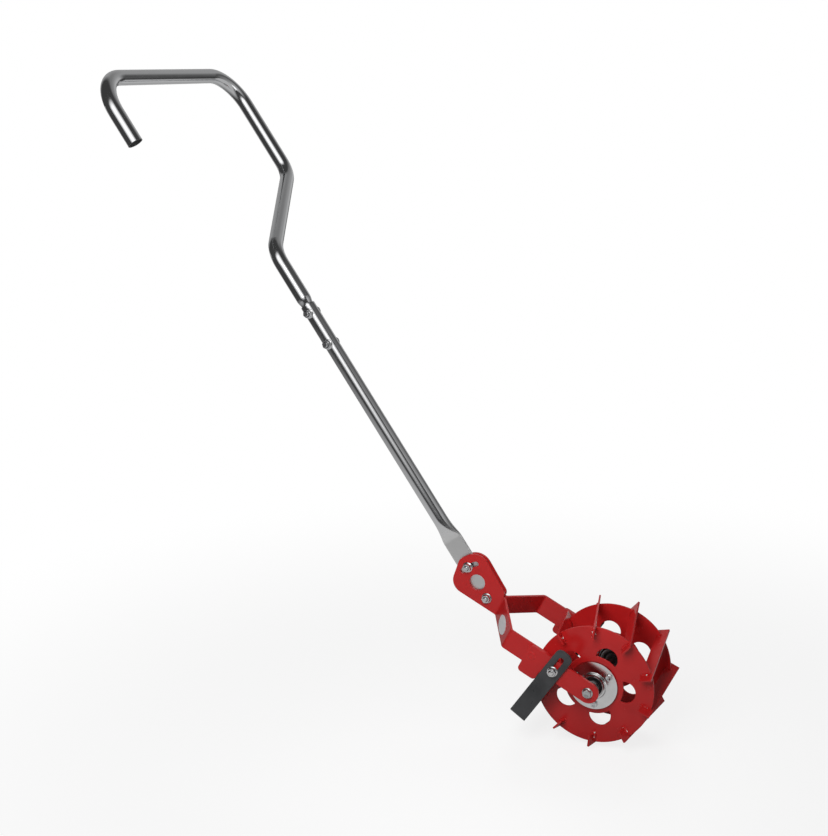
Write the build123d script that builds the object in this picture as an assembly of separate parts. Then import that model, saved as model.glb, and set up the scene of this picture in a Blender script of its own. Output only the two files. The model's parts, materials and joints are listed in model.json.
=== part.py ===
from build123d import *
import os
from math import atan2, cos, hypot, pi, radians, sin, sqrt, tan

# Wheel weeder: a bladed drum on a bent fork, a stirrup knife behind it and a tubular push handle.
# Millimetres and degrees. +X is forward, -Y is the near side, +Z is up.
# The origin is the ground point under the axle.

# Handle tubes
tube_od = 25.4
tube_wall = 2.0
handle_angle = 55.0
grip_width = 415.0
offset_run = 143.0
grip_run = 211.5
hook_length = 123.0
corner_radius = 65.0
offset_radius = 48.0

# Bolted joint between the two tubes
lower_tube_reach = 585.5
socket_depth = 101.0
socket_clearance = 0.1
neck_lead = 2.0
neck_length = 9.0
straight_above_joint = 108.0
joint_bolt_inset = 15.0
joint_bolt_pitch = 62.0

# Flattened tang at the foot of the lower tube
tang_reach = 117.5
flare_length = 37.0
flare_sections = 7
crown_angle = 2.5
tang_slack = 0.5

# Tilt clamp between tang and fork plates
pivot_to_axle = 229.5
arm_angle = 26.2
plate_clearance = 0.05
pivot_clearance = 0.08
slot_radius = 61.4
slot_width = 8.6
tilt_back = 12.0
tilt_forward = 16.0
sight_hole_reach = 31.0
sight_hole_diameter = 28.0

# Fork legs and axle arms
sheet = 4.0
arm_width = 36.0
drum_side_gap = 9.1
first_bend = 27.0
second_bend = 73.4
bend_radius = 6.0
fan_margin = 18.6
rear_corner_radius = 20.0
rear_corner_inset = 12.8
front_corner_radius = 28.0
front_corner_inset = 6.8
heel_radius = 23.0
heel_setback = 46.0
toe_radius = 10.0
toe_forward = 14.0
toe_height = 20.0
pad_rear = 117.5
pad_length = 33.5
pad_drop = 16.5
pad_corner = 6.5
label_length = 48.0
label_height = 25.0
label_thickness = 0.3
label_forward = 4.7
label_drop = 3.3

# Stirrup knife
knife_angle = 56.0
knife_setback = 65.0
knife_width = 30.0
knife_thickness = 4.0
knife_top = 41.0
knife_top_corner = 11.0
knife_slot_width = 9.0
knife_travel = 25.0
knife_bend = 39.5
knife_drum_gap = 10.5
knife_splay = 8.0
knife_bend_radius = 15.0
knife_corner_radius = 8.0
knife_bevel = 12.0
knife_edge = 0.8
knife_clearance = 0.05

# Drum
disc_radius = 100.0
disc_thickness = 3.0
disc_spacing = 110.6
window_count = 5
window_radius = 18.2
window_centre = 51.8
window_margin = 9.0
near_window_angle = 67.0
far_window_angle = 24.5
blade_count = 10
blade_length = 146.0
blade_depth = 20.0
blade_thickness = 3.0
blade_reach = 102.5
blade_near_offset = 7.5
blade_far_offset = 40.5
blade_angle = 156.5
weld_gap = 0.1

# Bearings in two-piece pressed housings
shaft_diameter = 17.0
ring_sphere_diameter = 40.0
ring_width = 12.0
ring_bore_diameter = 33.2
collar_diameter = 24.6
collar_reach = 16.0
groove_depth = 1.2
ball_count = 8
ball_clearance = 0.05
cage_thickness = 2.0
cage_rim = 0.9
cage_pocket_clearance = 0.1
seal_thickness = 1.2
seal_lip_gap = 0.3
seat_clearance = 0.05
shaft_clearance = 0.02
housing_sheet = 2.0
housing_dome = 7.0
housing_fillet = 2.0
housing_bolt_margin = 1.93
housing_rim_margin = 8.75
housing_bolt_count = 3
housing_bolt_angle = 35.0
disc_bore_gap = 1.0
grub_diameter = 5.0
grub_sink = 0.5
grub_angles = (35.0, 155.0)

# Fasteners
m8 = 8.0
m8_flats = 13.0
m8_flange = 17.9
m8_head = 8.0
m8_flange_height = 4.0
m8_flange_lip = 1.2
m8_tail = 3.0
m6 = 6.0
m6_flats = 10.0
m6_head = 4.0
m6_nut = 5.0
hole_clearance = 0.2
thread_clearance = 0.05
axle_bolt_grip = 22.0
tap_run_out = 1.0
cut_margin = 1.0

# Worked out from the sizes above
offset_start = lower_tube_reach + straight_above_joint
offset_end = offset_start + offset_run
crossbar_reach = offset_end + grip_run
tang_thickness = 2 * tube_wall + tang_slack
m8_hole = m8 / 2 + hole_clearance
m6_hole = m6 / 2 + hole_clearance
fan_reach = slot_radius + fan_margin
ring_seat = ring_sphere_diameter / 2 + seat_clearance
dome_radius = ring_seat + housing_sheet
housing_bolt_radius = dome_radius + housing_fillet + m6_flats / sqrt(3) + housing_bolt_margin
housing_radius = housing_bolt_radius + housing_rim_margin
window_inner = housing_radius + window_margin
ball_circle = (ring_bore_diameter + collar_diameter) / 4
ball_diameter = (ring_bore_diameter - collar_diameter) / 2 + 2 * groove_depth
grub_station = (ring_width / 2 + collar_reach) / 2
disc_outer = (disc_spacing + disc_thickness) / 2
disc_inner = disc_outer - disc_thickness
bearing_plane = disc_outer + housing_sheet
housing_outer = bearing_plane + housing_sheet
drum_half_width = max(blade_length / 2, bearing_plane + collar_reach)
drum_reach = max(disc_radius, hypot(blade_reach, max(blade_near_offset, blade_far_offset)))
plate_mid = tang_thickness / 2 + plate_clearance + sheet / 2
plate_outer = plate_mid + sheet / 2
arm_inner_half_gap = drum_half_width + drum_side_gap
strap_mid = arm_inner_half_gap + sheet / 2
arm_inner = arm_inner_half_gap + sheet
arm_outer = arm_inner + sheet
leg_mid = arm_outer + knife_clearance + knife_thickness / 2
leg_outer = leg_mid + knife_thickness / 2

# Frames. Fork and drum frames have their local z axis towards the near side.
axle_point = Vector(0, 0, drum_reach)
arm_forward = Vector(cos(radians(arm_angle)), 0, -sin(radians(arm_angle)))
shaft_up = Vector(-cos(radians(handle_angle)), 0, sin(radians(handle_angle)))
shaft_front = Vector(sin(radians(handle_angle)), 0, cos(radians(handle_angle)))
pivot_point = axle_point - arm_forward * pivot_to_axle
near_side = Vector(0, -1, 0)
drum_frame = Plane(origin=axle_point, x_dir=(1, 0, 0), z_dir=near_side)
fork_frame = Plane(origin=pivot_point, x_dir=arm_forward, z_dir=near_side)
grip_frame = Plane(origin=pivot_point, x_dir=shaft_up, z_dir=shaft_up.cross(Vector(0, 1, 0)))
knife_point = axle_point - arm_forward * knife_setback
knife_down = Vector(-cos(radians(knife_angle)), 0, -sin(radians(knife_angle)))
knife_edge_way = knife_down.cross(Vector(0, 1, 0))
knife_frame = Plane(origin=knife_point, x_dir=knife_down, z_dir=knife_edge_way)
shaft_angle_on_fork = 180 - (handle_angle - arm_angle)

# The knife hangs low enough for its front edge to clear the turning drum
setback_vector = arm_forward * -knife_setback
edge_reach = setback_vector.dot(knife_edge_way) + knife_width / 2
edge_drop = sqrt((drum_reach + knife_drum_gap) ** 2 - edge_reach ** 2) - setback_vector.dot(knife_down)
knife_drop = edge_drop + knife_thickness


def shaft_plane(station):
    """Cross-section of the handle shaft, with local y along +Y."""
    return Plane(origin=pivot_point + shaft_up * station, x_dir=shaft_front, z_dir=shaft_up)


def cylinder_between(radius, low, high):
    """Cylinder on the local z axis from one height to another."""
    return Pos(0, 0, (low + high) / 2) * Cylinder(radius, high - low)


def far_copy(part):
    """The same piece on the far side of the middle plane of a fork or drum frame."""
    return mirror(part, about=Plane.XY)


def save(name, part, frame=None):
    """Write one piece, or one group of like pieces, in the object's frame."""
    placed = part if frame is None else frame.location * part
    placed.label = name
    export_step(placed, f"parts/{name}.step")


def group(pieces):
    """Separate solids that share one node."""
    return Compound(children=[solid for piece in pieces for solid in piece.solids()])


# Fasteners on the local z axis, seated at z = 0 with the head or nut above
def hexagon(flats, low, high):
    return Pos(0, 0, low) * extrude(RegularPolygon(flats / 2, 6, major_radius=False), high - low)


def flange_crown():
    """Hexagon on a sloping round flange, as on M8 flange bolts and flange nuts."""
    slope = Plane.XZ * Polygon(
        (0, 0), (m8_flange / 2, 0), (m8_flange / 2, m8_flange_lip),
        (m8_flats / 2, m8_flange_height), (0, m8_flange_height),
        align=None)
    return revolve(slope, Axis.Z) + hexagon(m8_flats, 0, m8_head)


def flange_bolt(grip):
    return flange_crown() + cylinder_between(m8 / 2, -grip, 0)


def flange_nut():
    return flange_crown() - cylinder_between(m8 / 2 + thread_clearance, -cut_margin, m8_head + cut_margin)


def hex_bolt(grip):
    return hexagon(m6_flats, 0, m6_head) + cylinder_between(m6 / 2, -grip, 0)


def hex_nut():
    return hexagon(m6_flats, 0, m6_nut) - cylinder_between(
        m6 / 2 + thread_clearance, -cut_margin, m6_nut + cut_margin)


# Handle
def pressed_section(thickness):
    """Section of the tube pressed to a given thickness, with its outer girth kept."""
    return SlotOverall(thickness + pi / 2 * (tube_od - thickness), thickness)


def round_section():
    """The tube's round section, in arcs that match the sides and the halved flats of a pressed one."""
    side = 90 - crown_angle
    turns = (-side, side, 90, 180 - side, 180 + side, 270, 360 - side)
    arcs = [CenterArc((0, 0), tube_od / 2, start, end - start) for start, end in zip(turns, turns[1:])]
    return make_face(arcs)


def cross_hole(station, radius):
    """A drilling through the shaft, parallel to the axle."""
    drill = Rot(90, 0, 0) * Cylinder(radius, 2 * tube_od)
    return shaft_plane(station).location * drill


joint_bolt_stations = [lower_tube_reach - joint_bolt_inset - i * joint_bolt_pitch for i in range(2)]


def lower_handle_tube():
    round_from = tang_reach + flare_length
    sections = []
    for index in range(flare_sections - 1):
        share = index / (flare_sections - 1)
        thickness = tang_thickness + (tube_od - tang_thickness) * share * (2 - share)
        sections.append(shaft_plane(tang_reach + share * flare_length) * pressed_section(thickness))
    sections.append(shaft_plane(round_from) * round_section())
    flare = loft(sections)
    tang_face = pressed_section(tang_thickness)
    half_width = tang_face.bounding_box().size.X / 2
    tang = shaft_plane(-half_width).location * extrude(tang_face, half_width + tang_reach)
    rounding = Rot(90, 0, 0) * Cylinder(half_width, tube_od)
    body_above = cylinder_between(2 * half_width, 0, tang_reach)
    tang = tang & (shaft_plane(0).location * (rounding + body_above))
    barrel = shaft_plane(round_from).location * extrude(round_section(), lower_tube_reach - round_from)
    bore = shaft_plane(0).location * cylinder_between(
        tube_od / 2 - tube_wall, round_from, lower_tube_reach + cut_margin)
    tube = tang + flare + barrel - bore
    tube -= cross_hole(0, m8 / 2 + pivot_clearance)
    tube -= cross_hole(slot_radius, m8_hole)
    for station in joint_bolt_stations:
        tube -= cross_hole(station, m8_hole)
    return tube


def necked_foot(bend_from):
    """The end of the upper tube, drawn down with rounded shoulders to slide into the lower tube."""
    outer = tube_od / 2
    spigot = outer - tube_wall - socket_clearance
    foot = lower_tube_reach - socket_depth
    neck_low = lower_tube_reach + neck_lead
    neck_high = neck_low + neck_length
    outline = Polygon(
        (spigot, foot), (spigot, neck_low), (outer, neck_high), (outer, bend_from),
        (outer - tube_wall, bend_from), (outer - tube_wall, neck_high),
        (spigot - tube_wall, neck_low), (spigot - tube_wall, foot), align=None)
    corners = [corner for corner in outline.vertices() if foot < corner.Y < bend_from]
    slope = atan2(outer - spigot, neck_length)
    outline = fillet(corners, neck_lead / tan(slope / 2))
    return shaft_plane(0).location * revolve(Plane.XZ * outline, Axis.Z)


def upper_handle_tube():
    bend_from = lower_tube_reach + neck_length + 3 * neck_lead
    half = grip_width / 2
    path = FilletPolyline(
        (bend_from, 0), (offset_start, 0), (offset_end, half),
        (crossbar_reach, half), (crossbar_reach, -half), (crossbar_reach - hook_length, -half),
        radius=[offset_radius, offset_radius, corner_radius, corner_radius])
    path = grip_frame.location * path
    ring = Circle(tube_od / 2) - Circle(tube_od / 2 - tube_wall)
    tube = sweep(shaft_plane(bend_from) * ring, path=path) + necked_foot(bend_from)
    for station in joint_bolt_stations:
        tube -= cross_hole(station, m8_hole)
    return tube


def joint_bolts():
    grip = tube_od + m8_head + m8_tail
    head_up = Pos(0, tube_od / 2, 0) * Rot(-90, 0, 0) * flange_bolt(grip)
    return group([shaft_plane(station).location * head_up for station in joint_bolt_stations])


def joint_nuts():
    nut_out = Pos(0, -tube_od / 2, 0) * Rot(90, 0, 0) * flange_nut()
    return group([shaft_plane(station).location * nut_out for station in joint_bolt_stations])


# Fork, in the fork frame: local x along the arm, local y above it, local z towards the near side
def fan_point(reach, angle):
    """Point on the clamp plate, by distance from the pivot and angle ahead of the shaft line."""
    turn = radians(shaft_angle_on_fork - angle)
    return (reach * cos(turn), reach * sin(turn))


def clamp_plate():
    rear_corner = fan_point(fan_reach - rear_corner_radius, rear_corner_inset - tilt_back)
    front_corner = fan_point(fan_reach - front_corner_radius, tilt_forward - front_corner_inset)
    corners = [
        Pos(*rear_corner) * Circle(rear_corner_radius),
        Pos(*front_corner) * Circle(front_corner_radius),
        Pos(-heel_setback, heel_radius - arm_width / 2) * Circle(heel_radius),
        Pos(toe_forward, toe_height) * Circle(toe_radius)]
    outline = make_hull([corner.edge() for corner in corners])
    strip_start = first_bend / 2
    strip_length = strip_start + heel_setback
    outline += Pos(strip_start - strip_length / 2, 0) * Rectangle(strip_length, arm_width)
    return Pos(0, 0, plate_mid - sheet / 2) * extrude(outline, sheet)


def leg_strip():
    """The bent strip from the clamp plate out to the axle arm."""
    strap_end = pivot_to_axle - pad_rear + pad_length
    line = FilletPolyline(
        (0, plate_mid), (first_bend, plate_mid), (second_bend, strap_mid), (strap_end, strap_mid),
        radius=bend_radius)
    side = Plane(origin=(0, 0, 0), x_dir=(1, 0, 0), z_dir=(0, -1, 0))
    return extrude(side * trace(line, sheet), arm_width / 2, both=True)


def fork_leg():
    leg = clamp_plate() + leg_strip()
    slot_line = CenterArc(
        (0, 0), slot_radius, shaft_angle_on_fork - tilt_forward, tilt_forward + tilt_back)
    openings = SlotArc(slot_line, slot_width)
    openings += Pos(*fan_point(sight_hole_reach, 0)) * Circle(sight_hole_diameter / 2)
    openings += Circle(m8_hole)
    return leg - Pos(0, 0, plate_mid) * extrude(openings, sheet, both=True)


def axle_arm():
    outline = Pos(-pad_rear + pad_length / 2, -pad_drop / 2) * RectangleRounded(
        pad_length, arm_width + pad_drop, pad_corner)
    strip_length = pad_rear - pad_length / 2
    outline += Pos(-strip_length / 2, 0) * Rectangle(strip_length, arm_width)
    outline += Circle(arm_width / 2)
    outline -= Circle(m8_hole)
    outline -= Pos(-knife_setback, 0) * Circle(m8_hole)
    return Pos(pivot_to_axle, 0, arm_inner) * extrude(outline, sheet)


def blank_label():
    """Plain oval sticker on the slanted part of the near leg."""
    run = second_bend - first_bend
    rise = strap_mid - plate_mid
    slant = Vector(run, 0, rise).normalized()
    outward = Vector(-slant.Z, 0, slant.X)
    middle = Vector((first_bend + second_bend) / 2, 0, (plate_mid + strap_mid) / 2)
    face = Plane(origin=middle + outward * (sheet / 2), x_dir=slant, z_dir=outward)
    oval = Pos(label_forward, -label_drop) * Ellipse(label_length / 2, label_height / 2)
    return face.location * extrude(oval, label_thickness)


def clamp_bolt(station):
    """Through bolt from the far plate, with its tail beyond the near nut."""
    grip = 2 * plate_outer + m8_head + m8_tail
    seat = Pos(*fan_point(station, 0)) * Pos(0, 0, -plate_outer)
    return seat * Rot(180, 0, 0) * flange_bolt(grip)


def clamp_nut(station):
    return Pos(*fan_point(station, 0)) * Pos(0, 0, plate_outer) * flange_nut()


def axle_shaft():
    shaft = cylinder_between(shaft_diameter / 2, -arm_inner, arm_inner)
    depth = axle_bolt_grip - sheet + tap_run_out
    tap = cylinder_between(m8 / 2 + thread_clearance, arm_inner - depth, arm_inner + cut_margin)
    return shaft - tap - far_copy(tap)


def axle_bolts():
    near = Pos(0, 0, arm_outer) * flange_bolt(axle_bolt_grip)
    return group([near, far_copy(near)])


def knife_bolts():
    grip = sheet + knife_clearance + knife_thickness + m8_head + m8_tail
    near = Pos(-knife_setback, 0, 0) * Pos(0, 0, arm_inner) * Rot(180, 0, 0) * flange_bolt(grip)
    return group([near, far_copy(near)])


def knife_nuts():
    near = Pos(-knife_setback, 0, leg_outer) * flange_nut()
    return group([near, far_copy(near)])


# Knife, in its own frame: local x down the legs, local y along +Y, local z towards the cutting edge
def stirrup_knife():
    foot_mid = knife_drop - knife_thickness / 2
    foot_half = leg_mid + knife_splay
    line = FilletPolyline(
        (-knife_top, -leg_mid), (knife_bend, -leg_mid), (foot_mid, -foot_half),
        (foot_mid, foot_half), (knife_bend, leg_mid), (-knife_top, leg_mid),
        radius=[knife_bend_radius, knife_corner_radius, knife_corner_radius, knife_bend_radius])
    knife = extrude(trace(line, knife_thickness), knife_width / 2, both=True)
    knife = fillet(knife.edges().filter_by(Axis.Y).group_by(Axis.X)[0], knife_top_corner)
    slot = Pos(-knife_travel / 2, 0, 0) * Rot(90, 0, 0) * extrude(
        SlotCenterToCenter(knife_travel, knife_slot_width), 2 * foot_half, both=True)
    edge_at = knife_width / 2
    wedge = Plane.XZ * Polygon(
        (foot_mid - knife_thickness / 2, edge_at), (foot_mid - knife_thickness / 2, edge_at - knife_bevel),
        (knife_drop - knife_edge, edge_at), align=None)
    bevel = extrude(wedge, foot_half - 2 * knife_corner_radius, both=True)
    return knife - slot - bevel


# Drum, in the drum frame: local x forward, local y up, local z towards the near side
def drum_blade(index, growth=0.0):
    """Flat skewed blade. Growth widens it for the notch that it is welded into."""
    turn = radians(blade_angle - index * 360 / blade_count)
    outward = Vector(cos(turn), sin(turn), 0)
    around = Vector(-sin(turn), cos(turn), 0)
    skew = blade_near_offset - blade_far_offset
    along = (around * skew + Vector(0, 0, blade_length)).normalized()
    middle = outward * (blade_reach - blade_depth / 2) + around * (blade_near_offset + blade_far_offset) / 2
    frame = Plane(origin=middle, x_dir=outward, z_dir=outward.cross(along))
    blank = Box(blade_depth + 2 * growth, hypot(blade_length, skew), blade_thickness + 2 * growth)
    return frame.location * blank


def housing_bolt_places():
    return PolarLocations(housing_bolt_radius, housing_bolt_count, housing_bolt_angle)


def disc(window_angle):
    """Disc on the local z axis from z = 0 to its thickness, without its blade notches."""
    face = Circle(disc_radius) - Circle(dome_radius + housing_fillet + disc_bore_gap)
    windows = PolarLocations(window_centre, window_count, window_angle) * Circle(window_radius)
    face -= [window - Circle(window_inner) for window in windows]
    face -= [place * Circle(m6_hole) for place in housing_bolt_places()]
    return extrude(face, disc_thickness)


def wheel_discs():
    notches = [drum_blade(index, weld_gap) for index in range(blade_count)]
    near = Pos(0, 0, disc_inner) * disc(near_window_angle)
    far = Pos(0, 0, -disc_outer) * disc(far_window_angle)
    return near - notches, far - notches


def housing_half():
    """Outer half of a pressed housing: a flat flange at z = 0 with a dome above it."""
    rim = housing_radius
    quarter = Pos(rim / 2, housing_dome / 2) * Rectangle(rim, housing_dome)
    shell = (Circle(dome_radius) - Circle(ring_seat)) & quarter
    flat_from = (ring_seat + dome_radius) / 2
    flat = Pos((flat_from + rim) / 2, housing_sheet / 2) * Rectangle(rim - flat_from, housing_sheet)
    profile = shell + flat
    inside_corner = profile.vertices().sort_by_distance((dome_radius, housing_sheet))[0]
    profile = fillet(inside_corner, housing_fillet)
    half = revolve(Plane.XZ * profile, Axis.Z)
    drill = cylinder_between(m6_hole, -cut_margin, housing_sheet + cut_margin)
    return half - [place * drill for place in housing_bolt_places()]


def ball_groove():
    return Torus(ball_circle, ball_diameter / 2 + ball_clearance)


def outer_ring():
    ring = Sphere(ring_sphere_diameter / 2) & Cylinder(ring_sphere_diameter, ring_width)
    return ring - Cylinder(ring_bore_diameter / 2, 2 * ring_width) - ball_groove()


def collar_pin(angle, radius, low, high):
    """Cylinder along a radius of the locking collar."""
    return Pos(0, 0, grub_station) * Rot(0, 0, angle) * Rot(0, 90, 0) * cylinder_between(radius, low, high)


def inner_ring():
    ring = cylinder_between(collar_diameter / 2, -ring_width / 2, collar_reach)
    ring -= Cylinder(shaft_diameter / 2 + shaft_clearance, 2 * (collar_reach + ring_width))
    ring -= ball_groove()
    tapped = grub_diameter / 2 + thread_clearance
    return ring - [collar_pin(angle, tapped, 0, collar_diameter) for angle in grub_angles]


def grub_screws():
    foot = shaft_diameter / 2 + shaft_clearance
    top = collar_diameter / 2 - grub_sink
    return group([collar_pin(angle, grub_diameter / 2, foot, top) for angle in grub_angles])


def cage():
    """Ring that spaces the balls, drilled with one radial pocket for each."""
    half_length = ball_diameter / 2 + cage_pocket_clearance + cage_rim
    ring = cylinder_between(ball_circle + cage_thickness / 2, -half_length, half_length)
    ring -= Cylinder(ball_circle - cage_thickness / 2, 4 * half_length)
    pocket = Rot(0, 90, 0) * Cylinder(ball_diameter / 2 + cage_pocket_clearance, 2 * cage_thickness)
    return ring - [place * pocket for place in PolarLocations(ball_circle, ball_count)]


def balls():
    return group([place * Sphere(ball_diameter / 2) for place in PolarLocations(ball_circle, ball_count)])


def seals():
    ring = Circle(ring_bore_diameter / 2 - seat_clearance) - Circle(collar_diameter / 2 + seal_lip_gap)
    outer = Pos(0, 0, ring_width / 2 - seal_thickness) * extrude(ring, seal_thickness)
    return group([outer, far_copy(outer)])


def housing_bolts():
    grip = disc_thickness + 2 * housing_sheet + m6_nut
    near = [place * Pos(0, 0, housing_outer) * hex_bolt(grip) for place in housing_bolt_places()]
    return group(near + [far_copy(bolt) for bolt in near])


def housing_nuts():
    near = [place * Pos(0, 0, disc_inner) * Rot(180, 0, 0) * hex_nut() for place in housing_bolt_places()]
    return group(near + [far_copy(nut) for nut in near])


def save_handle():
    save("upper_handle_tube", upper_handle_tube())
    save("lower_handle_tube", lower_handle_tube())
    save("handle_joint_bolts", joint_bolts())
    save("handle_joint_nuts", joint_nuts())
    save("tilt_clamp_bolt", clamp_bolt(slot_radius), fork_frame)
    save("tilt_clamp_nut", clamp_nut(slot_radius), fork_frame)


def save_fork():
    leg = fork_leg()
    arm = axle_arm()
    save("fork_leg_near", leg, fork_frame)
    save("fork_leg_far", far_copy(leg), fork_frame)
    save("axle_arm_near", arm, fork_frame)
    save("axle_arm_far", far_copy(arm), fork_frame)
    save("blank_label", blank_label(), fork_frame)
    save("tilt_pivot_bolt", clamp_bolt(0), fork_frame)
    save("tilt_pivot_nut", clamp_nut(0), fork_frame)
    axle_frame = Plane(origin=axle_point, x_dir=arm_forward, z_dir=near_side)
    save("axle_shaft", axle_shaft(), axle_frame)
    save("axle_bolts", axle_bolts(), axle_frame)
    save("knife_bolts", knife_bolts(), axle_frame)
    save("knife_nuts", knife_nuts(), axle_frame)


def save_drum():
    near_disc, far_disc = wheel_discs()
    save("wheel_disc_near", near_disc, drum_frame)
    save("wheel_disc_far", far_disc, drum_frame)
    for index in range(blade_count):
        save(f"wheel_blade_{index + 1:02d}", drum_blade(index), drum_frame)
    save("housing_bolts", housing_bolts(), drum_frame)
    save("housing_nuts", housing_nuts(), drum_frame)


def save_bearings():
    at_bearing = Pos(0, 0, bearing_plane)
    pieces = {
        "housing_outer": housing_half(),
        "housing_inner": far_copy(housing_half()),
        "bearing_outer_ring": outer_ring(),
        "bearing_inner_ring": inner_ring(),
        "bearing_balls": balls(),
        "bearing_cage": cage(),
        "bearing_seals": seals()}
    for name, piece in pieces.items():
        near = group([at_bearing * piece])
        save(f"{name}_near", near, drum_frame)
        save(f"{name}_far", group([far_copy(near)]), drum_frame)
    near_grubs = at_bearing * grub_screws()
    save("bearing_grub_screws", group([near_grubs, far_copy(near_grubs)]), drum_frame)


os.makedirs("parts", exist_ok=True)
save_handle()
save_fork()
save_drum()
save_bearings()
save("stirrup_knife", stirrup_knife(), knife_frame)
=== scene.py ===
import json
import math
import random
from collections import namedtuple

import bmesh
import bpy
from mathutils import Matrix, Vector


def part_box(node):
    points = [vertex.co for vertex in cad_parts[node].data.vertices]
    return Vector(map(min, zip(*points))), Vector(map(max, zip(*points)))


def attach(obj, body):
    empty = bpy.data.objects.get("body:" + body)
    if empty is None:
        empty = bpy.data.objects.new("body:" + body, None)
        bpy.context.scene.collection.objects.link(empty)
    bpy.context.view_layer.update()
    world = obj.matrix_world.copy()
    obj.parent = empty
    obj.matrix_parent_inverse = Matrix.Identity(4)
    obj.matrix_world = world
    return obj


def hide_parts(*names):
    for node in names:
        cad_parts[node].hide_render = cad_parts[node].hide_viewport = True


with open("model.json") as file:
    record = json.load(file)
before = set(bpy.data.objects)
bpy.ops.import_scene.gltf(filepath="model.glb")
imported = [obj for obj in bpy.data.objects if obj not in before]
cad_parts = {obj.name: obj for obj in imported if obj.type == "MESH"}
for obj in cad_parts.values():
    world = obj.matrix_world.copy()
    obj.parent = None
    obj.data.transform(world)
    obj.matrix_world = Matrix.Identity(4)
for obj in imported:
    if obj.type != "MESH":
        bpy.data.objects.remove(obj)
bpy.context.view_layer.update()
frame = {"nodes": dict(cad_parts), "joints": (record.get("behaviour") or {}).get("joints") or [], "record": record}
nodes = frame["nodes"]
scene = bpy.context.scene
chance = random.Random(7)
MM = 0.001

# Joint places from the frame, and directions and the hook's end in the same frame
joint_places = {joint["name"]: joint.get("pos_m") for joint in frame["joints"]}
pivot = Vector(joint_places["handle_tilt"])
axle = Vector(joint_places["wheel_spin"])
handle_angle = math.radians(55.0)
shaft_up = Vector((-math.cos(handle_angle), 0.0, math.sin(handle_angle)))
arm_forward = (axle - pivot).normalized()
hook_end_station = 0.925
hook_end_side = -0.2075
hook_end = pivot + shaft_up * hook_end_station + Vector((0.0, hook_end_side, 0.0))

# Camera at the photograph's view
LENS = 63.27
SENSOR_WIDTH = 36.0
CAMERA_PLACE = (0.61356, -2.21125, 1.09700)
CAMERA_LOOK = (-0.3859, 0.8918, -0.2363)


def add_camera():
    data = bpy.data.cameras.new("camera")
    data.lens = LENS
    data.sensor_width = SENSOR_WIDTH
    camera = bpy.data.objects.new("camera", data)
    scene.collection.objects.link(camera)
    camera.location = CAMERA_PLACE
    camera.rotation_euler = Vector(CAMERA_LOOK).to_track_quat("-Z", "Y").to_euler()
    scene.camera = camera


# Shader helpers
NOISE_LOW = 0.3
NOISE_HIGH = 0.7


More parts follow.
